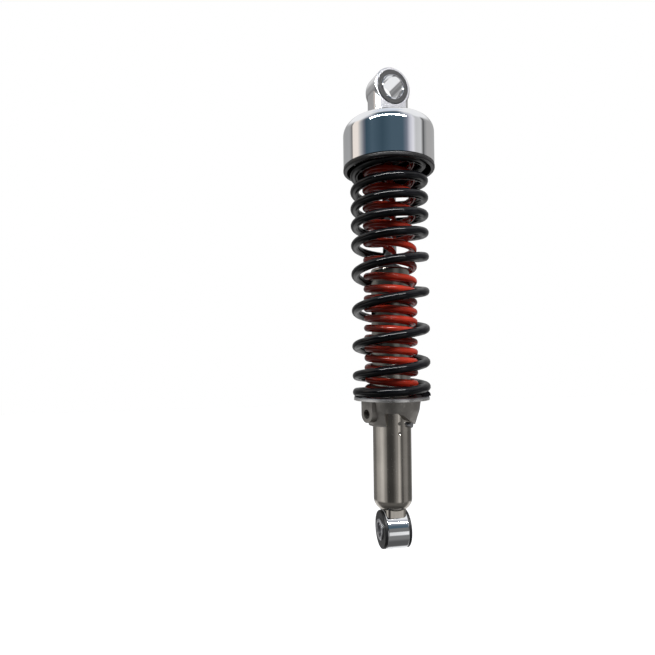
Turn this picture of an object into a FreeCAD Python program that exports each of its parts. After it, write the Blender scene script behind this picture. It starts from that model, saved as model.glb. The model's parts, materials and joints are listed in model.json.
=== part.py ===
"""Rear shock absorber of a small motorcycle: twin-tube damper, two coil springs, cam preload ring.

Millimetres.  The origin is the centre of the lower mounting eye.  +X runs along the lower
eye's bore and +Z along the damper, from the lower eye up to the upper eye.
"""
import FreeCAD, Part
import math
import os

V = FreeCAD.Vector
UP = V(0, 0, 1)
OUT_DIR = "parts"

# ---- driving dimensions -------------------------------------------------------------------
EYE_TO_EYE = 320.0          # centre distance of the two mounting eyes

# lower eye
LOWER_EYE_R = 14.0
LOWER_EYE_WIDTH = 16.0
BUSH_R = 11.5               # bore of the eye ring, filled by the rubber bush
BUSH_LIP_R = 13.7
BUSH_LIP_THICK = 2.0
LOWER_SLEEVE_R = 7.5
LOWER_BOLT_R = 5.1          # M10 bolt with clearance
LOWER_SLEEVE_LENGTH = 22.0
BUSH_RUNNING_GAP = 0.05     # the sleeve turns a few degrees in its bush

# damper body
BODY_R = 14.0
BODY_WALL = 1.6
BODY_SEAM_Z = 24.0          # where the pressed bottom cap meets the tube
BODY_TOP_Z = 190.0
STAKE_BEARING = 275.0       # bearing about +Z from +X of the two staking dimples in the tube
STAKE_HEIGHTS = (78.4, 71.3)
STAKE_R = 1.3
STAKE_STANDOFF = 0.45       # how far outside the tube a dimple's centre lies
CAP_CORNER_R = 9.0
CAP_BOTTOM_Z = 14.0
CAP_WALL = 4.0              # floor of the pressed bottom cap
NECK_WIDTH = 15.0
NECK_DEPTH = 19.0
NECK_BOTTOM_Z = 5.5
NECK_TOP_Z = 16.5
NECK_CORNER_R = 3.0
PRESS_GAP = 0.02            # radial gap of the parts that are pressed together
MOUTH_R = 10.2              # opening of the body's rolled-in top edge

# inside the damper
INNER_TUBE_R = 10.5
INNER_TUBE_BORE = 9.5
INNER_TUBE_BOTTOM_Z = 34.0
FOOT_VALVE_FLANGE = 4.0     # thickness of the foot valve's flange, which stands on the cap's spigot
FOOT_VALVE_PLUG = 4.0       # height of its plug in the pressure tube
FOOT_VALVE_HOLE_R = 2.0
RIVET_HEAD_R = 3.4
SPIGOT_WALL = 3.0
PORT_COUNT = 6              # oil ports in the foot valve and in the piston
SHIM_R = 7.6
GUIDE_BUSH_WALL = 1.2
ROD_GUIDE_BOTTOM_Z = 172.0
ROD_R = 5.0
RUNNING_GAP = 0.03          # radial clearance of the sliding and turning fits
PISTON_Z = 136.0
PISTON_HEIGHT = 12.0
LOCK_NUT_HEIGHT = 7.0
BUMP_STOP_HEIGHT = 12.0
ROD_THREAD_R = 4.0          # reduced end of the rod that carries the piston
PISTON_GROOVE = (4.0, 8.5)  # bottom and top of the ring groove above the piston's lower face
PISTON_RING_THICK = 1.4

# preload ring
LUG_ANGLE = 308.0           # bearing of the first stop lug about +Z
LUG_R = 2.0
LUG_REACH_R = 17.0
LUG_CENTRE_Z = 77.1
RING_BORE_R = BODY_R + 0.08
RING_BOTTOM_R = 17.0
RING_WAIST_R = 20.2
RING_SHOULDER_R = 21.2
RING_FLANGE_R = 27.5
RING_FLANGE_BOTTOM_Z = 94.7
RING_TOP_Z = 96.2
RING_BOTTOM_Z = 74.0
# The cam is the ring's lower edge, as (bearing, height).  It repeats after half a turn, and
# steps straight back up there.  A lug meets it 5 mm lower for each 60 degrees.
CAM_EDGE = [(238, 86.2), (266, 86.2), (277, 84.6), (295, 80.8), (300, 80.2), (308, 79.9),
            (320, 79.9), (340, 77.0), (348, 76.3), (418, 76.3)]
SPANNER_HOLE_R = 3.4
SPANNER_HOLE_Z = 85.3
SPANNER_BOSS_ANGLE = 202.0
SPANNER_BOSS_R = 6.2
SPANNER_BOSS_REACH = 23.0
SEAT_WASHER_THICK = 0.8

# springs
SEAT_TOP_Z = RING_TOP_Z + SEAT_WASHER_THICK
SPRING_TOP_Z = 284.3
SPRING_SEAT_GAP = 0.08
OUTER_MEAN_R = 25.2
OUTER_WIRE_R = 3.2
OUTER_FIRST_BEARING = 342.5
OUTER_PITCHES = [6.4, 17.9, 24.2, 26.9, 25.1, 17.2, 12.8, 12.6, 12.3, 12.2, 11.8, 6.4]
INNER_MEAN_R = 17.0
INNER_WIRE_R = 2.6
INNER_FIRST_BEARING = 162.5
INNER_PITCHES = [5.3, 7.0, 8.2, 7.2, 7.1, 7.5, 7.3, 7.2, 7.1, 7.3, 7.1,
                 9.2, 12.1, 12.6, 12.9, 12.9, 13.0, 12.6, 11.6, 5.6, 5.3]
SPRING_END_INSET = 0.6      # wire centre above the seat where the ground end starts
POINTS_PER_TURN = 16

# upper seat, cap and eye
SPRING_CAP_R = 33.0
SPRING_CAP_RIM_Z = 264.4
SPRING_CAP_TOP_Z = 297.0
SPRING_CAP_SHOULDER_R = 9.5
SPRING_CAP_WALL = 1.2
SEAT_CUP_WALL = 1.0
SEAT_CUP_LIP_Z = 261.0
SEAT_CUP_LIP_R = 33.2
SEAT_DISC_TOP_Z = 289.0
SEAT_DISC_THICK = 2.7
INSULATOR_R = 30.0
INSULATOR_BORE = 13.5
UPPER_EYE_R = 14.3
UPPER_EYE_WIDTH = 16.0
UPPER_EYE_BEARING = 101.0   # the upper eye's bore is turned this far about +Z from +X
UPPER_BUSH_R = 12.2
UPPER_SLEEVE_R = 8.9
UPPER_BOLT_R = 7.9
UPPER_SLEEVE_LENGTH = 18.0
UPPER_STEM_R = 9.0
UPPER_BOSS_R = 15.0
UPPER_NECK_CORNER = 4.0
ROD_TOP_Z = 306.0


# ---- helpers ------------------------------------------------------------------------------
def save(name, shape):
    """Writes one sub-part to its own STEP file."""
    if not shape.isValid():
        raise RuntimeError(name + " is not a valid solid")
    shape.exportStep(os.path.join(OUT_DIR, name + ".step"))
    print(f"{name:26s} solids {len(shape.Solids)}  volume {shape.Volume:10.1f} mm3")


def cylinder(r, z0, z1, axis=UP, centre=V(0, 0, 0)):
    """A cylinder about a line through centre, between two places along it."""
    return Part.makeCylinder(r, z1 - z0, centre + axis * z0, axis)


def ring(outer_r, inner_r, z0, z1, axis=UP, centre=V(0, 0, 0)):
    """A plain ring or tube."""
    hole = cylinder(inner_r, z0 - 1.0, z1 + 1.0, axis, centre)
    return cylinder(outer_r, z0, z1, axis, centre).cut(hole)


def revolve(points):
    """A solid turned about Z from a closed outline of (radius, height) points.

    A point with three values rounds that corner with the third value as its radius.
    """
    corners = [V(p[0], 0, p[1]) for p in points]
    radii = [p[2] if len(p) > 2 else 0.0 for p in points]
    edges = []
    starts = []
    ends = []
    arcs = []
    count = len(corners)
    for i in range(count):
        here = corners[i]
        if radii[i] == 0.0:
            starts.append(here)
            ends.append(here)
            arcs.append(None)
            continue
        before = (corners[i - 1] - here).normalize()
        after = (corners[(i + 1) % count] - here).normalize()
        half = before.getAngle(after) / 2
        back = radii[i] / math.tan(half)
        bisector = (before + after).normalize()
        middle = here + bisector * (radii[i] / math.sin(half) - radii[i])
        starts.append(here + before * back)
        ends.append(here + after * back)
        arcs.append(middle)
    for i in range(count):
        if arcs[i] is not None:
            edges.append(Part.Arc(starts[i], arcs[i], ends[i]).toShape())
        following = starts[(i + 1) % count]
        if (following - ends[i]).Length > 1e-6:
            edges.append(Part.makeLine(ends[i], following))
    face = Part.Face(Part.Wire(edges))
    return face.revolve(V(0, 0, 0), UP, 360)


def turned(shape, degrees):
    """A copy turned about Z."""
    copy = shape.copy()
    copy.rotate(V(0, 0, 0), UP, degrees)
    return copy


def hexagon(across_flats, z0, z1):
    """A hexagonal prism on the axis."""
    r = across_flats / math.sqrt(3)
    points = [V(r * math.cos(math.radians(60 * i)), r * math.sin(math.radians(60 * i)), z0) for i in range(7)]
    return Part.Face(Part.makePolygon(points)).extrude(V(0, 0, z1 - z0))


def rounded_block(width, depth, z0, z1, corner_r):
    """A block centred on the axis, with its upright edges rounded."""
    block = Part.makeBox(width, depth, z1 - z0, V(-width / 2, -depth / 2, z0))
    uprights = [e for e in block.Edges if abs(e.tangentAt(e.FirstParameter).z) > 0.9]
    return block.makeFillet(corner_r, uprights)


def ports(radius, port_r, z0, z1):
    """The space of a ring of oil ports."""
    holes = []
    for i in range(PORT_COUNT):
        bearing = math.tau * i / PORT_COUNT
        holes.append(cylinder(port_r, z0, z1, UP, V(radius * math.cos(bearing), radius * math.sin(bearing), 0)))
    return Part.makeCompound(holes)


def lipped_bush(bush_r, lip_r, sleeve_r, width, gap):
    """A rubber bush along X with a lip over each end of its eye."""
    outline = cylinder(bush_r, -width / 2, width / 2, V(1, 0, 0))
    for side in (-1, 1):
        x0 = side * width / 2
        x1 = side * (width / 2 + BUSH_LIP_THICK)
        lip = cylinder(lip_r, min(x0, x1), max(x0, x1), V(1, 0, 0))
        rim = [e for e in lip.Edges if abs(e.CenterOfMass.x - x1) < 1e-6 and e.Length > 6 * lip_r]
        outline = outline.fuse(lip.makeFillet(0.9, rim))
    return outline.cut(cylinder(sleeve_r + gap, -width, width, V(1, 0, 0)))


def sleeve_tube(outer_r, inner_r, length):
    """A steel distance sleeve along X with broken edges."""
    tube = ring(outer_r, inner_r, -length / 2, length / 2, V(1, 0, 0))
    rims = [e for e in tube.Edges if abs(abs(e.CenterOfMass.x) - length / 2) < 1e-6]
    return tube.makeChamfer(0.4, rims)


# ---- lower mount --------------------------------------------------------------------------
def lower_eye():
    """The ring that takes the lower bush."""
    half = LOWER_EYE_WIDTH / 2
    eye = ring(LOWER_EYE_R, BUSH_R, -half, half, V(1, 0, 0))
    rims = [e for e in eye.Edges if e.Length > 6 * LOWER_EYE_R and abs(e.CenterOfMass.x) > half - 0.1]
    return eye.makeFillet(0.8, rims)


def bottom_cap():
    """The pressed cap that closes the damper body, with the neck that is welded to the eye."""
    spigot_r = BODY_R - BODY_WALL - PRESS_GAP
    floor_z = CAP_BOTTOM_Z + CAP_WALL
    spigot_top = INNER_TUBE_BOTTOM_Z - FOOT_VALVE_FLANGE
    shell = revolve([
        (0, CAP_BOTTOM_Z),
        (BODY_R, CAP_BOTTOM_Z, CAP_CORNER_R),
        (BODY_R, BODY_SEAM_Z),
        (spigot_r, BODY_SEAM_Z),
        (spigot_r, spigot_top),
        (spigot_r - SPIGOT_WALL, spigot_top),
        (spigot_r - SPIGOT_WALL, floor_z, CAP_WALL),
        (0, floor_z),
    ])
    neck = rounded_block(NECK_WIDTH, NECK_DEPTH, NECK_BOTTOM_Z, NECK_TOP_Z, NECK_CORNER_R)
    eye_space = cylinder(LOWER_EYE_R + 0.01, -NECK_WIDTH, NECK_WIDTH, V(1, 0, 0))
    return shell.fuse(neck).removeSplitter().cut(eye_space)


# ---- damper -------------------------------------------------------------------------------
def outer_tube():
    """The body tube, with the rolled-in top edge and two staking dimples."""
    bore = BODY_R - BODY_WALL
    tube = revolve([
        (bore, BODY_SEAM_Z),
        (BODY_R, BODY_SEAM_Z),
        (BODY_R, BODY_TOP_Z, BODY_WALL - 0.1),
        (MOUTH_R, BODY_TOP_Z),
        (MOUTH_R, BODY_TOP_Z - BODY_WALL),
        (bore, BODY_TOP_Z - BODY_WALL),
    ])
    bearing = math.radians(STAKE_BEARING)
    out = BODY_R + STAKE_STANDOFF
    for z in STAKE_HEIGHTS:
        tube = tube.cut(Part.makeSphere(STAKE_R, V(out * math.cos(bearing), out * math.sin(bearing), z)))
    return tube


def stop_lugs():
    """Two round lugs, opposite each other, that carry the preload ring's cam."""
    lugs = []
    for extra in (0, 180):
        bearing = math.radians(LUG_ANGLE + extra)
        outward = V(math.cos(bearing), math.sin(bearing), 0)
        lug = cylinder(LUG_R, 0, LUG_REACH_R, outward, V(0, 0, LUG_CENTRE_Z))
        lugs.append(lug.cut(cylinder(BODY_R, 0, EYE_TO_EYE)))
    return Part.makeCompound(lugs)


def foot_valve():
    """The base valve under the pressure tube, with its disc and the rivet that holds it."""
    base = INNER_TUBE_BOTTOM_Z
    low = base - FOOT_VALVE_FLANGE
    top = base + FOOT_VALVE_PLUG
    body = cylinder(INNER_TUBE_R, low, base).fuse(cylinder(INNER_TUBE_BORE - PRESS_GAP, base, top))
    body = body.cut(cylinder(FOOT_VALVE_HOLE_R, low - 1, top + 1)).cut(ports(6.0, 1.0, low - 1, top + 1))
    disc_top = top + 0.3
    rivet = cylinder(FOOT_VALVE_HOLE_R, low, disc_top)
    rivet = rivet.fuse(cylinder(RIVET_HEAD_R, disc_top, disc_top + 1.3))
    rivet = rivet.fuse(cylinder(RIVET_HEAD_R, low - 1.2, low))
    return {
        "foot_valve": body,
        "foot_valve_disc": ring(SHIM_R, FOOT_VALVE_HOLE_R, top, disc_top),
        "foot_valve_rivet": rivet,
    }


def gland():
    """What closes the top of the body round the rod: guide, bush, seal, washer and wiper."""
    fit_r = BODY_R - BODY_WALL - PRESS_GAP
    rod_fit = ROD_R + RUNNING_GAP
    bush_r = ROD_R + GUIDE_BUSH_WALL
    z = ROD_GUIDE_BOTTOM_Z
    guide_low = z - 4.0
    guide_top = z + 8.0
    seal_top = z + 13.0
    rod_guide = revolve([
        (bush_r, guide_low),
        (INNER_TUBE_BORE - PRESS_GAP, guide_low),
        (INNER_TUBE_BORE - PRESS_GAP, z),
        (fit_r, z),
        (fit_r, guide_top),
        (bush_r, guide_top),
    ])
    oil_seal = revolve([
        (rod_fit, guide_top),
        (fit_r, guide_top),
        (fit_r, seal_top),
        (ROD_R + 2.4, seal_top),
        (ROD_R + 1.4, guide_top + 2.5),
        (rod_fit, guide_top + 2.5),
    ])
    wiper = revolve([
        (rod_fit, BODY_TOP_Z),
        (MOUTH_R - 0.2, BODY_TOP_Z),
        (MOUTH_R - 0.8, BODY_TOP_Z + 1.0),
        (ROD_R + 1.6, BODY_TOP_Z + 2.6),
        (rod_fit, BODY_TOP_Z + 2.6),
    ])
    return {
        "rod_guide": rod_guide,
        "rod_guide_bush": ring(bush_r, rod_fit, guide_low, guide_top),
        "oil_seal": oil_seal,
        "gland_washer": ring(fit_r, ROD_R + 2.6, seal_top, BODY_TOP_Z - BODY_WALL),
        "dust_wiper": wiper,
    }


def rod_and_piston():
    """The rod with its piston, ring, valve shims, stop washer, nut and bump stop."""
    low = PISTON_Z
    high = PISTON_Z + PISTON_HEIGHT
    shim_top = high + 0.4
    washer_top = high + 1.2
    valve_low = low - 0.6
    nut_low = low - 6.6
    rod_end = low - 7.5
    rod = cylinder(ROD_R, washer_top, ROD_TOP_Z)
    rod = rod.fuse(cylinder(ROD_THREAD_R, rod_end, washer_top))
    tip = [e for e in rod.Edges if abs(e.CenterOfMass.z - rod_end) < 1e-6]
    rod = rod.makeChamfer(0.6, tip)

    groove_r = INNER_TUBE_BORE - PISTON_RING_THICK
    groove_low = low + PISTON_GROOVE[0]
    groove_top = low + PISTON_GROOVE[1]
    piston = ring(INNER_TUBE_BORE - 0.35, ROD_THREAD_R, low, high)
    piston = piston.cut(ring(INNER_TUBE_BORE, groove_r, groove_low, groove_top))
    piston = piston.cut(ports(6.3, 0.8, low - 1, high + 1))

    stop_top = SEAT_DISC_TOP_Z - SEAT_DISC_THICK - LOCK_NUT_HEIGHT
    stop_bottom = stop_top - BUMP_STOP_HEIGHT
    bump_stop = revolve([
        (ROD_R, stop_top),
        (ROD_R, stop_bottom),
        (7.5, stop_bottom),
        (10.5, stop_bottom + 4.0),
        (9.2, stop_bottom + 7.0),
        (11.5, stop_bottom + 9.5),
        (11.5, stop_top),
    ])
    return {
        "piston_rod": rod,
        "piston": piston,
        "piston_ring": ring(INNER_TUBE_BORE - RUNNING_GAP, groove_r, groove_low, groove_top),
        "rebound_shim": ring(SHIM_R + 0.2, ROD_THREAD_R, high, shim_top),
        "piston_stop_washer": ring(SHIM_R - 0.6, ROD_THREAD_R, shim_top, washer_top),
        "compression_shims": ring(SHIM_R, ROD_THREAD_R, valve_low, low),
        "piston_nut": hexagon(11.0, nut_low, valve_low).cut(cylinder(ROD_THREAD_R, nut_low - 1, low)),
        "bump_stop": bump_stop,
    }


# ---- preload ring -------------------------------------------------------------------------
def cam_cut():
    """The space below the cam, as two half turns of a slope that steps straight back."""
    sections = []
    floor = RING_BOTTOM_Z - 2.0
    step = 6.0
    for (low_bearing, low_z), (high_bearing, high_z) in zip(CAM_EDGE, CAM_EDGE[1:]):
        parts = max(1, round((high_bearing - low_bearing) / step))
        for i in range(parts):
            share = i / parts
            bearing = low_bearing + share * (high_bearing - low_bearing)
            sections.append((bearing, low_z + share * (high_z - low_z)))
    sections.append(CAM_EDGE[-1])
    wires = []
    for bearing, z in sections:
        angle = math.radians(bearing)
        outward = V(math.cos(angle), math.sin(angle), 0)
        near = outward * (RING_BORE_R - 3.0)
        far = outward * (RING_FLANGE_R + 4.0)
        corners = [near + UP * floor, far + UP * floor, far + UP * z, near + UP * z]
        wires.append(Part.makePolygon(corners + corners[:1]))
    half_turn = Part.makeLoft(wires, True, True)
    return [half_turn, turned(half_turn, 180)]


def preload_ring():
    """The die-cast cam ring: flange for the springs, tapered skirt, spanner boss and cam edge."""
    skirt = revolve([
        (RING_BORE_R, RING_BOTTOM_Z),
        (RING_BOTTOM_R, RING_BOTTOM_Z),
        (RING_BOTTOM_R, CAM_EDGE[-1][1] + 1.0),
        (RING_WAIST_R, SPANNER_HOLE_Z + 2.0, 6.0),
        (RING_SHOULDER_R, RING_FLANGE_BOTTOM_Z),
        (RING_FLANGE_R, RING_FLANGE_BOTTOM_Z),
        (RING_FLANGE_R, RING_TOP_Z),
        (RING_BORE_R, RING_TOP_Z),
    ])
    bearing = math.radians(SPANNER_BOSS_ANGLE)
    outward = V(math.cos(bearing), math.sin(bearing), 0)
    root = RING_BORE_R - 2.0
    boss = cylinder(SPANNER_BOSS_R, root, SPANNER_BOSS_REACH, outward, V(0, 0, SPANNER_HOLE_Z))
    web = Part.makeBox(SPANNER_BOSS_REACH - root, 2 * SPANNER_BOSS_R, RING_FLANGE_BOTTOM_Z - SPANNER_HOLE_Z,
                       V(root, -SPANNER_BOSS_R, SPANNER_HOLE_Z))
    boss = boss.fuse(turned(web, SPANNER_BOSS_ANGLE))
    body_space = cylinder(RING_BORE_R, 0, EYE_TO_EYE)
    solid = skirt
    for space in cam_cut():
        solid = solid.cut(space)
    solid = solid.fuse(boss.cut(body_space)).removeSplitter()
    hole = cylinder(SPANNER_HOLE_R, RING_BORE_R + 1.6, SPANNER_BOSS_REACH + 5, outward, V(0, 0, SPANNER_HOLE_Z))
    return solid.cut(hole)


def seat_washer():
    """The thin steel washer on which the springs slide when the ring is turned."""
    return ring(RING_FLANGE_R - 0.2, RING_BORE_R + 0.3, RING_TOP_Z + 0.02, SEAT_TOP_Z)


# ---- springs ------------------------------------------------------------------------------
def rise_within_turn(pitches, turn, share):
    """Rise since the turn began, as a cubic that meets its neighbours' mean pitch at both ends."""
    rise = pitches[turn]
    before = pitches[turn - 1] if turn > 0 else rise
    after = pitches[turn + 1] if turn + 1 < len(pitches) else rise
    slope_in = (rise + before) / 2
    slope_out = (rise + after) / 2
    return ((share ** 3 - 2 * share ** 2 + share) * slope_in
            + (3 * share ** 2 - 2 * share ** 3) * rise
            + (share ** 3 - share ** 2) * slope_out)


def coil_spring(mean_r, wire_r, pitches, first_bearing, hand):
    """A round wire on a helix whose pitch is given turn by turn, with both ends ground flat."""
    low = SEAT_TOP_Z + SPRING_SEAT_GAP
    high = SPRING_TOP_Z - SPRING_SEAT_GAP
    start_z = low + SPRING_END_INSET
    scale = (high - low - 2 * SPRING_END_INSET) / sum(pitches)
    points = []
    for i in range(len(pitches) * POINTS_PER_TURN + 1):
        turn = min(i // POINTS_PER_TURN, len(pitches) - 1)
        share = i / POINTS_PER_TURN - turn
        z = start_z + scale * (sum(pitches[:turn]) + rise_within_turn(pitches, turn, share))
        angle = math.radians(first_bearing + hand * 360.0 * (turn + share))
        points.append(V(mean_r * math.cos(angle), mean_r * math.sin(angle), z))
    path = Part.BSplineCurve()
    path.interpolate(points)
    edge = path.toShape()
    section = Part.Wire([Part.makeCircle(wire_r, points[0], path.tangent(path.FirstParameter)[0])])
    wire = Part.Wire([edge]).makePipeShell([section], True, True)
    expected = math.pi * wire_r ** 2 * edge.Length
    if abs(wire.Volume / expected - 1) > 0.01:
        raise RuntimeError("the swept wire's volume differs from its section times its length")
    slab = cylinder(mean_r + 3 * wire_r, low, high)
    ground = wire.common(slab)
    print(f"  scale of pitches {scale:.4f}, wire length {edge.Length:.0f} mm")
    return ground


# ---- upper mount --------------------------------------------------------------------------
def spring_cap():
    """The chromed cap that covers the top of the springs."""
    hole_r = UPPER_STEM_R + 0.1
    inner_r = SPRING_CAP_R - SPRING_CAP_WALL
    inner_top = SPRING_CAP_TOP_Z - SPRING_CAP_WALL
    return revolve([
        (hole_r, SPRING_CAP_TOP_Z),
        (SPRING_CAP_R, SPRING_CAP_TOP_Z, SPRING_CAP_SHOULDER_R),
        (SPRING_CAP_R, SPRING_CAP_RIM_Z),
        (inner_r, SPRING_CAP_RIM_Z),
        (inner_r, inner_top, SPRING_CAP_SHOULDER_R - SPRING_CAP_WALL),
        (hole_r, inner_top),
    ])


def upper_seat_cup():
    """The black cup that carries the springs' top ends and lines the chromed cap."""
    wall_r = SPRING_CAP_R - SPRING_CAP_WALL - 0.2
    disc_bottom = SEAT_DISC_TOP_Z - SEAT_DISC_THICK
    return revolve([
        (ROD_R, disc_bottom),
        (wall_r - SEAT_CUP_WALL, disc_bottom),
        (wall_r - SEAT_CUP_WALL, SEAT_CUP_LIP_Z),
        (SEAT_CUP_LIP_R, SEAT_CUP_LIP_Z, 1.2),
        (SEAT_CUP_LIP_R, SPRING_CAP_RIM_Z - 0.1, 1.0),
        (wall_r, SPRING_CAP_RIM_Z - 0.1),
        (wall_r, SEAT_DISC_TOP_Z, 2.5),
        (ROD_R, SEAT_DISC_TOP_Z),
    ])


def spring_insulator():
    """The thin pad between the springs and the seat cup."""
    return ring(INSULATOR_R, INSULATOR_BORE, SPRING_TOP_Z, SEAT_DISC_TOP_Z - SEAT_DISC_THICK)


def upper_eye():
    """The cast eye: barrel, turned foot on the cap, and the stem that the rod screws into."""
    half = UPPER_EYE_WIDTH / 2
    centre = V(0, 0, EYE_TO_EYE)
    barrel = cylinder(UPPER_EYE_R, -half, half, V(1, 0, 0), centre)
    rims = [e for e in barrel.Edges if abs(abs(e.CenterOfMass.x) - half) < 1e-6]
    barrel = barrel.makeFillet(1.0, rims)
    neck_width = 2 * (UPPER_EYE_R - 0.4)
    neck = rounded_block(UPPER_EYE_WIDTH, neck_width, SPRING_CAP_TOP_Z, EYE_TO_EYE, UPPER_NECK_CORNER)
    foot = revolve([
        (0, SPRING_CAP_TOP_Z),
        (UPPER_BOSS_R, SPRING_CAP_TOP_Z),
        (UPPER_BOSS_R, SPRING_CAP_TOP_Z + 1.5, 1.0),
        (UPPER_STEM_R, SPRING_CAP_TOP_Z + 6.0),
        (0, SPRING_CAP_TOP_Z + 6.0),
    ])
    solid = barrel.fuse(neck).fuse(foot).removeSplitter()
    solid = solid.fuse(cylinder(UPPER_STEM_R, SEAT_DISC_TOP_Z, SPRING_CAP_TOP_Z + 1))
    solid = solid.cut(cylinder(UPPER_BUSH_R, -UPPER_EYE_WIDTH, UPPER_EYE_WIDTH, V(1, 0, 0), centre))
    solid = solid.cut(cylinder(ROD_R, SEAT_DISC_TOP_Z - 5, ROD_TOP_Z + 0.4))
    return turned(solid, UPPER_EYE_BEARING)


def upper_bush():
    """The upper rubber bush, pressed into the eye."""
    half = UPPER_EYE_WIDTH / 2
    centre = V(0, 0, EYE_TO_EYE)
    bush = ring(UPPER_BUSH_R, UPPER_SLEEVE_R + BUSH_RUNNING_GAP, -half - 0.6, half + 0.6, V(1, 0, 0), centre)
    rims = [e for e in bush.Edges if abs(e.CenterOfMass.x) > half and e.Length > 6 * UPPER_BUSH_R]
    return turned(bush.makeFillet(0.5, rims), UPPER_EYE_BEARING)


def upper_sleeve():
    """The thin steel sleeve through the upper bush."""
    sleeve = sleeve_tube(UPPER_SLEEVE_R, UPPER_BOLT_R, UPPER_SLEEVE_LENGTH)
    sleeve.translate(V(0, 0, EYE_TO_EYE))
    return turned(sleeve, UPPER_EYE_BEARING)


def lock_nut():
    """The hexagon nut that locks the rod under the seat cup."""
    top = SEAT_DISC_TOP_Z - SEAT_DISC_THICK
    low = top - LOCK_NUT_HEIGHT
    nut = hexagon(17.0, low, top)
    rounding = revolve([(0, low), (8.6, low), (9.9, low + 1), (9.9, top), (0, top)])
    return nut.common(rounding).cut(cylinder(ROD_R, low - 1, top + 1))


# ---- the assembly -------------------------------------------------------------------------
def main():
    os.makedirs(OUT_DIR, exist_ok=True)
    save("lower_eye_ring", lower_eye())
    save("lower_bush", lipped_bush(BUSH_R, BUSH_LIP_R, LOWER_SLEEVE_R, LOWER_EYE_WIDTH, BUSH_RUNNING_GAP))
    save("lower_sleeve", sleeve_tube(LOWER_SLEEVE_R, LOWER_BOLT_R, LOWER_SLEEVE_LENGTH))
    save("bottom_cap", bottom_cap())
    save("outer_tube", outer_tube())
    save("stop_lugs", stop_lugs())
    save("pressure_tube", ring(INNER_TUBE_R, INNER_TUBE_BORE, INNER_TUBE_BOTTOM_Z, ROD_GUIDE_BOTTOM_Z))
    for group in (foot_valve(), gland(), rod_and_piston()):
        for name, shape in group.items():
            save(name, shape)
    save("preload_ring", preload_ring())
    save("seat_washer", seat_washer())

    save("outer_spring", coil_spring(OUTER_MEAN_R, OUTER_WIRE_R, OUTER_PITCHES, OUTER_FIRST_BEARING, 1))
    save("inner_spring", coil_spring(INNER_MEAN_R, INNER_WIRE_R, INNER_PITCHES, INNER_FIRST_BEARING, -1))
    save("spring_cap", spring_cap())
    save("upper_seat_cup", upper_seat_cup())
    save("spring_insulator", spring_insulator())
    save("upper_eye", upper_eye())
    save("upper_bush", upper_bush())
    save("upper_sleeve", upper_sleeve())
    save("lock_nut", lock_nut())


main()
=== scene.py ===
"""Rear shock absorber: the looks of its springs, cap, tube, mounts and fittings, and a plain studio."""
import json
import math

import bpy
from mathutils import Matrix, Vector


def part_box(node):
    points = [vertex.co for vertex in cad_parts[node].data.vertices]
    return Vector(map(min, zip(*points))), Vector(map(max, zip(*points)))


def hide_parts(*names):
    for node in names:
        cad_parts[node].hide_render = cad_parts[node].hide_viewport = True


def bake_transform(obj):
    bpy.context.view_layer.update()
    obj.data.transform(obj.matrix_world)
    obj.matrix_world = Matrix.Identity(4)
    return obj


bl_info = {
    "name": "Rear Shock Absorber",
    "version": (1, 0, 0),
    "blender": (4, 5, 0),
    "location": "3D View > Sidebar > Shock",
    "description": "Builds the finished pieces of a motorcycle rear shock absorber round its engineering model",
    "category": "Object",
}

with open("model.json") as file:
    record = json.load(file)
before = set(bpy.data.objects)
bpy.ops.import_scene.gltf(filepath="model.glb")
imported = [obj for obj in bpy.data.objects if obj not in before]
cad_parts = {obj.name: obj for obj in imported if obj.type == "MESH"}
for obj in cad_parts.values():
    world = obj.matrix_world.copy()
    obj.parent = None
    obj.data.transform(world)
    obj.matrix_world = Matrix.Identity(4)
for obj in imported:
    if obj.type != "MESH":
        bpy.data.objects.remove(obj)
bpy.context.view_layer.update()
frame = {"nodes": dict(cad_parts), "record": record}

MM = 0.001
FLOOR_Z = -0.30
# name, distance toward the viewer, distance to the right, height, size, watts,
# and whether only shiny surfaces take its light
STUDIO_LAMPS = (
    ("key_strip", 0.45, 0.00, 0.62, (0.90, 0.03), 9.0, True),
    ("side_card", 0.22, 0.38, 0.52, (0.20, 0.25), 3.4, False),
)
SEAT_TOP_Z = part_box("seat_washer")[1][2]
SPRING_TOP_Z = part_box("spring_insulator")[0][2]
# height of a painted highlight line round the preload ring's rim, 1.5 mm under its top
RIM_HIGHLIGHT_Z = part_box("preload_ring")[1][2] - 1.5 * MM

# pitch of each turn from the bottom up, as shares of the spring's free height
OUTER_PITCHES = (6.4, 17.9, 24.2, 26.9, 25.1, 17.2, 12.8, 12.6, 12.3, 12.2, 11.8, 6.4)
INNER_PITCHES = (5.3, 7.0, 8.2, 7.2, 7.1, 7.5, 7.3, 7.2, 7.1, 7.3, 7.1,
                 9.2, 12.1, 12.6, 12.9, 12.9, 13.0, 12.6, 11.6, 5.6, 5.3)
# bearing in degrees at which each wire starts on the lower seat
OUTER_START = 342.5
INNER_START = 162.5
RIGHT_HANDED = 1
LEFT_HANDED = -1
# points along each turn of wire
WIRE_STEPS = 48
# distance between the middles of two touching turns, in wire radii, with a trace of paint between them
TOUCHING_TURNS = 2.04

FLOOR_WIDTH = 8.0
SENSOR_WIDTH = 36.0
NEAREST_SEEN = 0.01
LAMP_AIM_Z = 0.17
# climb in degrees from where one part of the studio fades in to where it is whole
MIDDLE_BAND = (-5.0, -2.0)
HIGH_BAND = (15.5, 18.5)
SIDE_WEDGES = (28.0, 50.0)
TOP_CARD = (30.0, 42.0)
FAR_FLOOR = (-17.0, -25.0)
NEAR_FLOOR = (-18.0, -26.0)
FLOOR_BELOW = (-40.0, -60.0)
OVERHEAD = (66.0, 78.0)
DIM_BELOW = (10.0, -30.0)


# ---- what a user would change --------------------------------------------------------------
def length(name, about, metres):
    """A length property shown in scene units."""
    return bpy.props.FloatProperty(name=name, description=about, default=metres, min=0.0,
                                   unit="LENGTH", precision=5)


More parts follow.
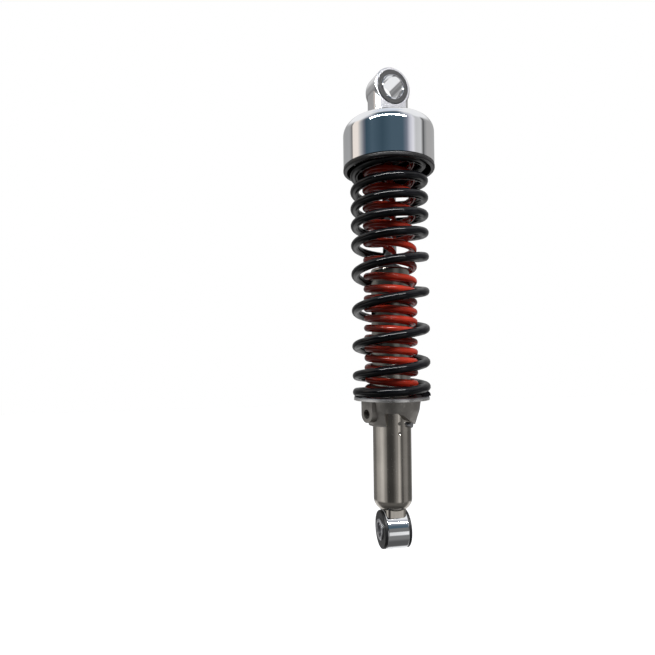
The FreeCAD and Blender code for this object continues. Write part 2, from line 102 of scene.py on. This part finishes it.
def colour(name, about, rgb):
    """A colour property."""
    return bpy.props.FloatVectorProperty(name=name, description=about, default=rgb, size=3,
                                         min=0.0, max=1.0, subtype="COLOR")


class ShockSizes(bpy.types.PropertyGroup):
    outer_mean: length("Outer spring radius", "Radius to the middle of the outer spring's wire", 25.2 * MM)
    outer_wire: length("Outer wire radius", "Radius of the outer spring's wire", 3.2 * MM)
    inner_mean: length("Inner spring radius", "Radius to the middle of the inner spring's wire", 17.0 * MM)
    inner_wire: length("Inner wire radius", "Radius of the inner spring's wire", 2.6 * MM)
    end_gap: length("Seat gap", "Gap between a spring's ground end and its seat", 0.08 * MM)
    end_inset: length("End inset", "Height of the wire's centre above the seat where the ground end starts",
                      0.6 * MM)


class ShockColours(bpy.types.PropertyGroup):
    body: colour("Damper body", "Satin steel of the damper tube", (0.50, 0.465, 0.42))
    chrome: colour("Chrome", "Plated cap, rod and lower eye", (0.86, 0.87, 0.89))
    zinc: colour("Plain steel", "Machined sleeves, nuts and washers", (0.50, 0.50, 0.52))
    cast: colour("Cast alloy", "Preload ring", (0.37, 0.35, 0.325))
    polished: colour("Polished alloy", "Upper eye", (0.82, 0.82, 0.83))
    black: colour("Black coat", "Outer spring", (0.006, 0.006, 0.008))
    red: colour("Red coat", "Inner spring", (0.50, 0.036, 0.016))
    rubber: colour("Rubber", "Bushes, wiper and seals", (0.022, 0.022, 0.024))


class ShockStage(bpy.types.PropertyGroup):
    azimuth: bpy.props.FloatProperty(name="Azimuth", description="Turn of the view about the upright axis",
                                     default=math.radians(-10.6), subtype="ANGLE")
    roll: bpy.props.FloatProperty(name="Roll", description="Roll of the camera",
                                  default=math.radians(-0.76), subtype="ANGLE")
    distance: length("Distance", "Distance from the lens to the damper's axis along the view", 0.383)
    aside: length("Aside", "How far the damper stands to the right of the line of view", 0.0466)
    height: length("Camera height", "Height of the camera above the lower eye", 0.1274)
    lens: bpy.props.FloatProperty(name="Lens", description="Focal length in millimetres", default=28.7)
    rise: bpy.props.FloatProperty(name="Rise", description="Upward shift of the picture", default=0.0428)


# ---- shader expressions --------------------------------------------------------------------
class Value:
    """A number socket that adds a Math node for each operator used on it."""

    def __init__(self, owner, socket):
        self.owner = owner
        self.socket = socket

    def math(self, operation, first, second=None):
        """A Math node on one or two numbers or sockets."""
        inputs = {0: first}
        if second is not None:
            inputs[1] = second
        node = self.owner.node("ShaderNodeMath", {"operation": operation}, inputs)
        return Value(self.owner, node.outputs[0])

    def __add__(self, other):
        return self.math("ADD", self, other)

    __radd__ = __add__

    def __sub__(self, other):
        return self.math("SUBTRACT", self, other)

    def __rsub__(self, other):
        return self.math("SUBTRACT", other, self)

    def __mul__(self, other):
        return self.math("MULTIPLY", self, other)

    __rmul__ = __mul__

    def __truediv__(self, other):
        return self.math("DIVIDE", self, other)

    def between(self, low, high):
        """0 at low and 1 at high, smooth between; low may be the larger of the two."""
        node = self.owner.node("ShaderNodeMapRange", {"interpolation_type": "SMOOTHSTEP"},
                                {"Value": self, "From Min": low, "From Max": high})
        return Value(self.owner, node.outputs[0])


class Tree:
    """A shader node tree with short ways to add nodes."""

    def __init__(self, tree):
        self.tree = tree

    def node(self, kind, settings=None, inputs=None):
        """Adds a node, makes its settings, then links or sets its sockets."""
        node = self.tree.nodes.new(kind)
        for key, value in (settings or {}).items():
            setattr(node, key, value)
        for key, value in (inputs or {}).items():
            self.join(value, node.inputs[key])
        return node

    def join(self, value, socket):
        """Links a value or socket to a socket, or sets the socket to a constant."""
        if isinstance(value, Value):
            value = value.socket
        if isinstance(value, bpy.types.NodeSocket):
            self.tree.links.new(value, socket)
        else:
            socket.default_value = value

    def split(self, vector):
        """The three parts of a vector."""
        node = self.node("ShaderNodeSeparateXYZ", None, {0: vector})
        return [Value(self, out) for out in node.outputs]

    def blend(self, factor, first, second):
        """A colour mix; either colour may be a socket or a plain colour."""
        node = self.node("ShaderNodeMix", {"data_type": "RGBA"})
        self.join(factor, node.inputs[0])
        for socket, tint in ((node.inputs[6], first), (node.inputs[7], second)):
            self.join(tint if isinstance(tint, bpy.types.NodeSocket) else (*tint, 1.0), socket)
        return node.outputs[2]

    def ramp(self, factor, stops):
        """A colour ramp over bearings of -180 to 180 degrees."""
        node = self.node("ShaderNodeValToRGB", None, {"Fac": factor})
        points = node.color_ramp.elements
        points.remove(points[1])
        points[0].color = (*stops[0][1], 1.0)
        for degrees, rgb in stops[1:]:
            points.new((degrees + 180.0) / 360.0).color = (*rgb, 1.0)
        return node.outputs["Color"]


class Finish(Tree):
    """One material: its node tree and its Principled shader."""

    def __init__(self, name, **constants):
        self.material = bpy.data.materials.new(name)
        self.material.use_nodes = True
        super().__init__(self.material.node_tree)
        self.shader = self.tree.nodes["Principled BSDF"]
        self.place = self.node("ShaderNodeTexCoord").outputs["Object"]
        for socket, value in constants.items():
            self.shader.inputs[socket.replace("_", " ")].default_value = value

    def stretched(self, scale):
        """Object coordinates, scaled differently along the three axes."""
        return self.node("ShaderNodeMapping", None, {"Vector": self.place, "Scale": scale}).outputs[0]

    def noise(self, scale, detail=3.0, roughness=0.5, along=None):
        where = self.place if along is None else self.stretched(along)
        node = self.node("ShaderNodeTexNoise", None,
                         {"Vector": where, "Scale": scale, "Detail": detail, "Roughness": roughness})
        return Value(self, node.outputs[0])

    def speckle(self, scale, low, high):
        """Small round spots, 1 in the spots and 0 between them."""
        node = self.node("ShaderNodeTexVoronoi", None, {"Vector": self.place, "Scale": scale})
        return 1 - Value(self, node.outputs["Distance"]).between(low, high)

    def height(self):
        """Height along the damper, in metres."""
        return self.split(self.place)[2]

    def colour(self, value):
        self.join(value, self.shader.inputs["Base Color"])

    def rough(self, value):
        self.join(value, self.shader.inputs["Roughness"])

    def bump(self, value, distance, strength=0.5):
        node = self.node("ShaderNodeBump", None, {"Height": value, "Distance": distance, "Strength": strength})
        self.join(node.outputs[0], self.shader.inputs["Normal"])


def shade(rgb, share):
    """A colour made darker or lighter."""
    return tuple(min(1.0, c * share) for c in rgb)


# ---- finishes ------------------------------------------------------------------------------
def body_steel(tints):
    """Ground and polished tube: fine lines along it, faint stains and a few pits."""
    f = Finish("body_steel", Metallic=1.0)
    lines = f.noise(900.0, 4.0, along=(1.0, 1.0, 0.02))
    stain = f.noise(45.0, 4.0)
    pits = f.speckle(520.0, 0.05, 0.11)
    worn = (stain * 0.7 + lines * 0.3).between(0.35, 0.65)
    f.colour(f.blend(worn, shade(tints.body, 0.86), shade(tints.body, 1.08)))
    f.rough(0.10 + lines * 0.07 + stain * 0.07 + pits * 0.2)
    f.bump(lines * 0.6 - pits * 0.4, 0.00004, 0.35)
    return f.material


def chrome_plate(tints):
    """Bright plate over polished steel, with faint smears and dust."""
    f = Finish("chrome_plate", Metallic=1.0)
    smear = f.noise(30.0, 3.0)
    dust = f.noise(2200.0, 2.0).between(0.62, 0.80)
    ripple = f.noise(55.0, 1.0)
    f.colour(f.blend(smear.between(0.3, 0.7), shade(tints.chrome, 0.95), tints.chrome))
    f.rough(0.03 + smear.between(0.45, 0.75) * 0.05 + dust * 0.06)
    f.bump(ripple, 0.00008, 0.25)
    return f.material


def plain_steel(tints):
    """Turned steel with circular marks and a thin zinc bloom."""
    f = Finish("plain_steel", Metallic=1.0)
    bloom = f.noise(160.0, 4.0)
    marks = f.noise(1500.0, 2.0)
    f.colour(f.blend(bloom.between(0.3, 0.7), shade(tints.zinc, 0.8), shade(tints.zinc, 1.15)))
    f.rough(0.24 + bloom * 0.16 + marks * 0.06)
    f.bump(marks, 0.00003, 0.4)
    return f.material


def cast_alloy(tints):
    """Tumbled die casting: fine grain, darker patches, and a thin lighter band round the flange rim that is a
    painted highlight line, smoother there too.
    """
    f = Finish("cast_alloy", Metallic=1.0)
    grain = f.noise(1400.0, 4.0, 0.6)
    cloud = f.noise(90.0, 4.0)
    worn = f.noise(240.0, 3.0).between(0.58, 0.72)
    # a thin band round the rim painted much lighter: a painted highlight line, also made smoother
    rim_highlight = f.height().between(RIM_HIGHLIGHT_Z - 0.2 * MM, RIM_HIGHLIGHT_Z + 0.2 * MM)
    base = f.blend(cloud.between(0.3, 0.7), shade(tints.cast, 0.78), shade(tints.cast, 1.12))
    base = f.blend(worn * 0.5, base, shade(tints.cast, 1.5))
    # the painted highlight colour of the rim line
    f.colour(f.blend(rim_highlight, base, (0.78, 0.77, 0.75)))
    f.rough(0.38 + grain * 0.14 - worn * 0.08 - rim_highlight * 0.16)
    f.bump((grain + cloud * 0.5) * (1 - rim_highlight * 0.8), 0.00010, 0.45)
    return f.material


def polished_alloy(tints):
    """Buffed casting: bright, slightly wavy, with fine rub marks."""
    f = Finish("polished_alloy", Metallic=1.0)
    wave = f.noise(75.0, 2.0)
    rub = f.noise(1300.0, 3.0, along=(1.0, 1.0, 0.25))
    f.colour(f.blend(wave.between(0.3, 0.7), shade(tints.polished, 0.88), tints.polished))
    f.rough(0.13 + rub * 0.08 + wave * 0.05)
    f.bump(wave + rub * 0.08, 0.00030, 0.22)
    return f.material


def gloss_coat(name, tint, dark, light, dusty):
    """Powder coat on spring wire: orange peel, soft colour drift and a little dust."""
    f = Finish(name, Coat_Weight=1.0, Coat_Roughness=0.10, Coat_IOR=1.32, Specular_IOR_Level=0.0)
    drift = f.noise(60.0, 3.0)
    peel = f.noise(700.0, 2.0)
    dust = f.noise(1600.0, 3.0).between(0.60, 0.78)
    base = f.blend(drift.between(0.3, 0.7), shade(tint, dark), shade(tint, light))
    f.colour(f.blend(dust * dusty, base, (0.20, 0.19, 0.18)))
    f.rough(0.22 + drift * 0.12 + dust * 0.25)
    f.bump(peel, 0.00006, 0.30)
    return f.material


def soft_rubber(name, tint, rough):
    """Moulded rubber: fine skin, paler scuffs."""
    f = Finish(name, IOR=1.45)
    skin = f.noise(1800.0, 3.0)
    scuff = f.noise(260.0, 4.0).between(0.55, 0.75)
    f.colour(f.blend(scuff * 0.6, tint, shade(tint, 2.2)))
    f.rough(rough + scuff * 0.12 + skin * 0.08)
    f.bump(skin + scuff * 0.4, 0.00006, 0.4)
    return f.material


def satin_black(tints):
    """Stove enamel on pressed steel."""
    f = Finish("satin_black", Coat_Weight=0.4, Coat_Roughness=0.25, Specular_IOR_Level=0.2)
    cloud = f.noise(120.0, 3.0)
    peel = f.noise(900.0, 2.0)
    f.colour(f.blend(cloud, (0.008, 0.008, 0.009), (0.018, 0.017, 0.017)))
    f.rough(0.34 + cloud * 0.12)
    f.bump(peel, 0.00005, 0.3)
    return f.material


def sintered_iron(name, tint, rough):
    """Pressed and sintered metal with open pores."""
    f = Finish(name, Metallic=1.0)
    pores = f.speckle(1300.0, 0.10, 0.25)
    cloud = f.noise(150.0, 3.0)
    f.colour(f.blend(cloud, shade(tint, 0.75), shade(tint, 1.15)))
    f.rough(rough + pores * 0.2 + cloud * 0.1)
    f.bump(0 - pores, 0.00005, 0.5)
    return f.material


def all_finishes(tints):
    """Every finish, by the record's material slot."""
    return {
        "polished_steel": body_steel(tints),
        "chrome": chrome_plate(tints),
        "zinc_steel": plain_steel(tints),
        "rubber": soft_rubber("moulded_rubber", tuple(tints.rubber), 0.42),
        "cast_aluminium": cast_alloy(tints),
        "polished_aluminium": polished_alloy(tints),
        "black_spring": gloss_coat("black_coat", tuple(tints.black), 0.6, 1.4, 0.03),
        "red_spring": gloss_coat("red_coat", tuple(tints.red), 0.72, 1.15, 0.06),
        "black_steel": satin_black(tints),
        "sintered": sintered_iron("sintered_iron", (0.30, 0.30, 0.31), 0.42),
        "bronze": sintered_iron("bearing_bronze", (0.52, 0.38, 0.18), 0.30),
        "ptfe": soft_rubber("bearing_band", (0.03, 0.05, 0.05), 0.35),
        "foam": soft_rubber("bump_foam", (0.045, 0.043, 0.038), 0.75),
        "nylon": soft_rubber("seat_pad", (0.012, 0.012, 0.012), 0.40),
    }


# ---- modelling helpers ---------------------------------------------------------------------
# name of the finish of each material slot
FINISH_OF = {}


def clear_selection():
    bpy.ops.object.select_all(action="DESELECT")


def select_only(obj):
    clear_selection()
    obj.select_set(True)
    bpy.context.view_layer.objects.active = obj


def finish_piece(obj, name, slot):
    """Names a piece and gives it its finish."""
    obj.name = name
    obj.data.name = name
    obj.data.materials.clear()
    obj.data.materials.append(bpy.data.materials[FINISH_OF[slot]])


def rise_within_turn(pitches, turn, share):
    """Rise since the turn began, as a cubic that meets its neighbours' mean pitch at both ends."""
    rise = pitches[turn]
    before = pitches[turn - 1] if turn > 0 else rise
    after = pitches[turn + 1] if turn + 1 < len(pitches) else rise
    slope_in = (rise + before) / 2
    slope_out = (rise + after) / 2
    return ((share ** 3 - 2 * share ** 2 + share) * slope_in
            + (3 * share ** 2 - 2 * share ** 3) * rise
            + (share ** 3 - share ** 2) * slope_out)


def coil_spring(sizes, mean, wire, pitches, bearing, hand):
    """A spring's wire as a mesh with ground ends and an attribute of how many turns along the wire each vertex
    lies, with the shares of its free gap along the wire.
    """
    low = SEAT_TOP_Z + sizes.end_gap
    high = SPRING_TOP_Z - sizes.end_gap
    scale = (high - low - 2 * sizes.end_inset) / sum(pitches)
    heights = []
    for i in range(len(pitches) * WIRE_STEPS + 1):
        turn = min(i // WIRE_STEPS, len(pitches) - 1)
        share = i / WIRE_STEPS - turn
        rise = sum(pitches[:turn]) + rise_within_turn(pitches, turn, share)
        heights.append(low + sizes.end_inset + scale * rise)
    route = bpy.data.curves.new("wire_route", "CURVE")
    route.dimensions = "3D"
    route.bevel_depth = wire
    route.bevel_resolution = 6
    route.use_fill_caps = True
    line = route.splines.new("POLY")
    line.points.add(len(heights) - 1)
    for i, z in enumerate(heights):
        angle = math.radians(bearing) + hand * math.tau * i / WIRE_STEPS
        line.points[i].co = (mean * math.cos(angle), mean * math.sin(angle), z, 1.0)
    clear_selection()
    spring = bpy.data.objects.new("wire", route)
    bpy.context.collection.objects.link(spring)
    select_only(spring)
    bpy.ops.object.convert(target="MESH")
    spring = bpy.context.object
    mark_turns(spring.data, hand, bearing, heights)
    for plane_z, keep_above in ((low, True), (high, False)):
        bpy.ops.object.mode_set(mode="EDIT")
        bpy.ops.mesh.select_all(action="SELECT")
        bpy.ops.mesh.bisect(plane_co=(0, 0, plane_z), plane_no=(0, 0, 1), use_fill=True,
                            clear_inner=keep_above, clear_outer=not keep_above)
        bpy.ops.object.mode_set(mode="OBJECT")
    bpy.ops.object.shade_smooth_by_angle(angle=math.radians(40))
    return spring, free_gap_weights(pitches, scale, wire)


def mark_turns(mesh, hand, bearing, heights):
    """Writes on each vertex how many turns along the wire it is."""
    turns = mesh.attributes.new("turns", "FLOAT", "POINT")
    values = []
    for vertex in mesh.vertices:
        angle = hand * (math.atan2(vertex.co.y, vertex.co.x) - math.radians(bearing))
        share = (angle / math.tau) % 1.0
        best = None
        for turn in range(-1, len(heights) // WIRE_STEPS + 1):
            place = turn + share
            index = min(max(round(place * WIRE_STEPS), 0), len(heights) - 1)
            miss = abs(heights[index] - vertex.co.z)
            if best is None or miss < best[0]:
                best = (miss, place)
        values.append(min(max(best[1], 0.0), (len(heights) - 1) / WIRE_STEPS))
    turns.data.foreach_set("value", values)


def free_gap_weights(pitches, scale, wire):
    """Share of the spring's free gap that lies below each step along the wire."""
    total = 0.0
    shares = [0.0]
    for i in range(len(pitches) * WIRE_STEPS):
        turn = i // WIRE_STEPS
        share = i / WIRE_STEPS - turn
        step_rise = (rise_within_turn(pitches, turn, share + 1 / WIRE_STEPS)
                     - rise_within_turn(pitches, turn, share))
        total += max(0.0, step_rise * scale - TOUCHING_TURNS * wire / WIRE_STEPS)
        shares.append(total)
    return [s / total for s in shares]


def bend_between_bodies(spring, weights):
    """Bakes the spring's placement into its mesh, reads how many turns along the wire each vertex lies, and
    removes that attribute.
    """
    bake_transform(spring)
    turns = [0.0] * len(spring.data.vertices)
    spring.data.attributes["turns"].data.foreach_get("value", turns)
    for turn in turns:
        place = min(max(turn * WIRE_STEPS, 0.0), len(weights) - 1.0)
        low = min(int(place), len(weights) - 2)
        weights[low] + (place - low) * (weights[low + 1] - weights[low])
    spring.data.attributes.remove(spring.data.attributes["turns"])


# ---- operators -----------------------------------------------------------------------------
class SHOCK_OT_finishes(bpy.types.Operator):
    """Makes every finish and gives it to the engineering model's own pieces"""
    bl_idname = "shock.finishes"
    bl_label = "Finishes"

    def execute(self, context):
        finishes = all_finishes(context.scene.shock_colours)
        for slot, material in finishes.items():
            FINISH_OF[slot] = material.name
        for part in frame["record"]["subparts"]:
            mesh = frame["nodes"][part["node"]].data
            mesh.materials.clear()
            mesh.materials.append(finishes[part["material_slot"]])
        return {"FINISHED"}


class SHOCK_OT_springs(bpy.types.Operator):
    """Winds the black outer spring and the red inner spring"""
    bl_idname = "shock.springs"
    bl_label = "Springs"

    def execute(self, context):
        sizes = context.scene.shock_sizes
        outer, weights = coil_spring(sizes, sizes.outer_mean, sizes.outer_wire, OUTER_PITCHES,
                                     OUTER_START, RIGHT_HANDED)
        finish_piece(outer, "outer_coil", "black_spring")
        bend_between_bodies(outer, weights)
        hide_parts("outer_spring")
        inner, weights = coil_spring(sizes, sizes.inner_mean, sizes.inner_wire, INNER_PITCHES,
                                     INNER_START, LEFT_HANDED)
        finish_piece(inner, "inner_coil", "red_spring")
        bend_between_bodies(inner, weights)
        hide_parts("inner_spring")
        return {"FINISHED"}


def grey(level, warmth=0.0):
    """A neutral or slightly warm light colour."""
    return (level * (1 + warmth), level, level * (1 - warmth))


def studio_light(scene, facing):
    """White behind the object for the camera, and for all else the strips and cards of a small studio.

    The bearing of a stop is in degrees from the viewer, positive toward the right of the picture.
    """
    world = bpy.data.worlds.new("studio")
    scene.world = world
    world.use_nodes = True
    sky = Tree(world.node_tree)
    coordinates = sky.node("ShaderNodeTexCoord").outputs["Generated"]
    turned = sky.node("ShaderNodeVectorRotate", {"rotation_type": "Z_AXIS"},
                      {"Vector": coordinates, "Angle": -facing})
    toward, across, up = sky.split(turned.outputs[0])
    bearing = across.math("ARCTAN2", across, toward) / math.tau + 0.5
    climb = up.math("ARCSINE", up) * math.degrees(1)
    blue = (0.07, 0.113, 0.15)
    deep = (0.045, 0.08, 0.11)
    window = (0.93, 0.84, 0.76)
    high = sky.ramp(bearing, (
        (-180, grey(0.44)), (-140, grey(0.38)), (-116, grey(0.40)), (-106, grey(0.30, 0.03)),
        (-102, grey(0.10)), (-99, window), (-82, window), (-72, grey(0.46)), (-63, (0.16, 0.17, 0.20)), (-56, deep), (-40, blue),
        (-14, deep), (8, blue), (36, blue), (47, (0.20, 0.22, 0.27)), (55, (0.60, 0.60, 0.66)),
        (64, (0.85, 0.84, 0.88)), (72, grey(0.60)), (88, grey(0.66)), (96, grey(0.07)), (102, grey(0.30)),
        (112, grey(0.42, 0.02)), (180, grey(0.44))))
    middle = sky.ramp(bearing, (
        (-180, grey(0.30)), (-100, grey(0.22)), (-70, grey(0.04)), (14, grey(0.03)), (24, grey(0.18)),
        (46, grey(0.18)), (58, grey(0.05)), (100, grey(0.22)), (180, grey(0.30))))
    low = sky.ramp(bearing, (
        (-180, grey(0.35)), (-150, grey(0.26)), (-118, grey(0.22)), (-102, grey(0.55)), (-80, grey(0.70)),
        (-70, grey(0.95)), (-54, grey(0.90)), (-48, grey(0.50)), (-37, grey(0.42)), (-31, grey(0.11)),
        (-20, grey(0.07)), (4, grey(0.08)), (20, grey(0.28)), (31, grey(0.55)), (37, grey(0.95)),
        (47, grey(0.85)), (53, grey(0.20)), (65, grey(0.14)), (72, grey(0.36)), (94, grey(0.42)),
        (106, grey(0.18)), (128, grey(0.12)), (152, grey(0.36)), (180, grey(0.35))))
    tone = sky.blend(climb.between(*MIDDLE_BAND), low, middle)
    tone = sky.blend(climb.between(*HIGH_BAND), tone, high)
    wedge = across.math("ABSOLUTE", across).between(0.30, 0.55) * toward.between(0.0, 0.3)
    tone = sky.blend(wedge * climb.between(*SIDE_WEDGES), tone, (0.55, 0.57, 0.62))
    behind = toward.between(0.45, 0.10)
    tone = sky.blend(behind * climb.between(*TOP_CARD), tone, grey(0.95))
    far = toward.between(-0.10, -0.50)
    tone = sky.blend(far * climb.between(*FAR_FLOOR), tone, grey(0.95))
    tone = sky.blend((1 - far) * climb.between(*NEAR_FLOOR), tone, grey(0.20))
    tone = sky.blend((1 - far) * climb.between(*FLOOR_BELOW), tone, grey(0.10))
    tone = sky.blend(climb.between(*OVERHEAD), tone, (0.72, 0.76, 0.85))
    rays = sky.node("ShaderNodeLightPath").outputs
    below = climb.between(*DIM_BELOW)
    tone = sky.blend(Value(sky, rays["Is Diffuse Ray"]) * (0.35 + below * 0.5), tone, grey(0.0))
    sky.join(sky.blend(Value(sky, rays["Is Camera Ray"]), tone, grey(1.0)),
             sky.tree.nodes["Background"].inputs["Color"])


class SHOCK_OT_stage(bpy.types.Operator):
    """Sets up the floor, the studio light and the camera"""
    bl_idname = "shock.stage"
    bl_label = "Stage"

    def execute(self, context):
        stage = context.scene.shock_stage
        look = Vector((-math.sin(stage.azimuth), math.cos(stage.azimuth), 0))
        right = Vector((look.y, -look.x, 0))
        camera = bpy.data.objects.new("camera", bpy.data.cameras.new("camera"))
        bpy.context.collection.objects.link(camera)
        camera.location = Vector((0, 0, stage.height)) - look * stage.distance - right * stage.aside
        camera.rotation_euler = (math.pi / 2, 0, stage.azimuth)
        camera.rotation_euler.rotate_axis("Z", stage.roll)
        camera.data.lens = stage.lens
        camera.data.sensor_width = SENSOR_WIDTH
        camera.data.shift_y = stage.rise
        camera.data.clip_start = NEAREST_SEEN
        context.scene.camera = camera

        facing = math.atan2(camera.location.y, camera.location.x)
        studio_light(context.scene, facing)
        context.scene.view_settings.view_transform = "Standard"

        clear_selection()
        bpy.ops.mesh.primitive_plane_add(size=FLOOR_WIDTH, location=(0, 0, FLOOR_Z))
        floor = context.object
        floor.name = "floor"
        bpy.ops.object.transform_apply(location=True, rotation=True, scale=True)
        paper = Finish("floor_paper", Emission_Color=(1, 1, 1, 1), Emission_Strength=0.75)
        fibre = paper.noise(40.0, 3.0)
        paper.colour(paper.blend(fibre, (0.90, 0.90, 0.90), (0.94, 0.94, 0.94)))
        paper.rough(0.85 + fibre * 0.1)
        floor.data.materials.append(paper.material)
        floor.visible_glossy = False
        floor.visible_diffuse = False

        ahead = Vector((math.cos(facing), math.sin(facing), 0))
        beside = Vector((-ahead.y, ahead.x, 0))
        for name, forward, across, height, size, power, shiny_only in STUDIO_LAMPS:
            lamp = bpy.data.lights.new(name, "AREA")
            lamp.shape = "RECTANGLE"
            lamp.size, lamp.size_y = size
            lamp.energy = power
            holder = bpy.data.objects.new(name, lamp)
            context.collection.objects.link(holder)
            holder.location = ahead * forward + beside * across + Vector((0, 0, height))
            aim = Vector((0, 0, LAMP_AIM_Z)) - holder.location
            holder.rotation_euler = aim.to_track_quat("-Z", "Y").to_euler()
            holder.visible_camera = False
            holder.visible_diffuse = not shiny_only
            holder.visible_glossy = shiny_only
        return {"FINISHED"}


class SHOCK_PT_panel(bpy.types.Panel):
    """Lists the steps in the order in which they run"""
    bl_idname = "SHOCK_PT_panel"
    bl_label = "Rear Shock Absorber"
    bl_space_type = "VIEW_3D"
    bl_region_type = "UI"
    bl_category = "Shock"

    def draw(self, context):
        for group in GROUPS:
            self.layout.label(text=group.__name__)
            for name in group.__annotations__:
                self.layout.prop(getattr(context.scene, GROUPS[group]), name)
        for step in STEPS:
            self.layout.operator(step.bl_idname)


GROUPS = {ShockSizes: "shock_sizes", ShockColours: "shock_colours", ShockStage: "shock_stage"}
STEPS = (SHOCK_OT_finishes, SHOCK_OT_springs, SHOCK_OT_stage)


def register():
    for group, name in GROUPS.items():
        bpy.utils.register_class(group)
        setattr(bpy.types.Scene, name, bpy.props.PointerProperty(type=group))
    for step in STEPS:
        bpy.utils.register_class(step)
    bpy.utils.register_class(SHOCK_PT_panel)


def unregister():
    bpy.utils.unregister_class(SHOCK_PT_panel)
    for step in reversed(STEPS):
        bpy.utils.unregister_class(step)
    for group, name in GROUPS.items():
        delattr(bpy.types.Scene, name)
        bpy.utils.unregister_class(group)


def main():
    register()
    bpy.ops.shock.finishes()
    bpy.ops.shock.springs()
    bpy.ops.shock.stage()


if __name__ == "__main__":
    main()
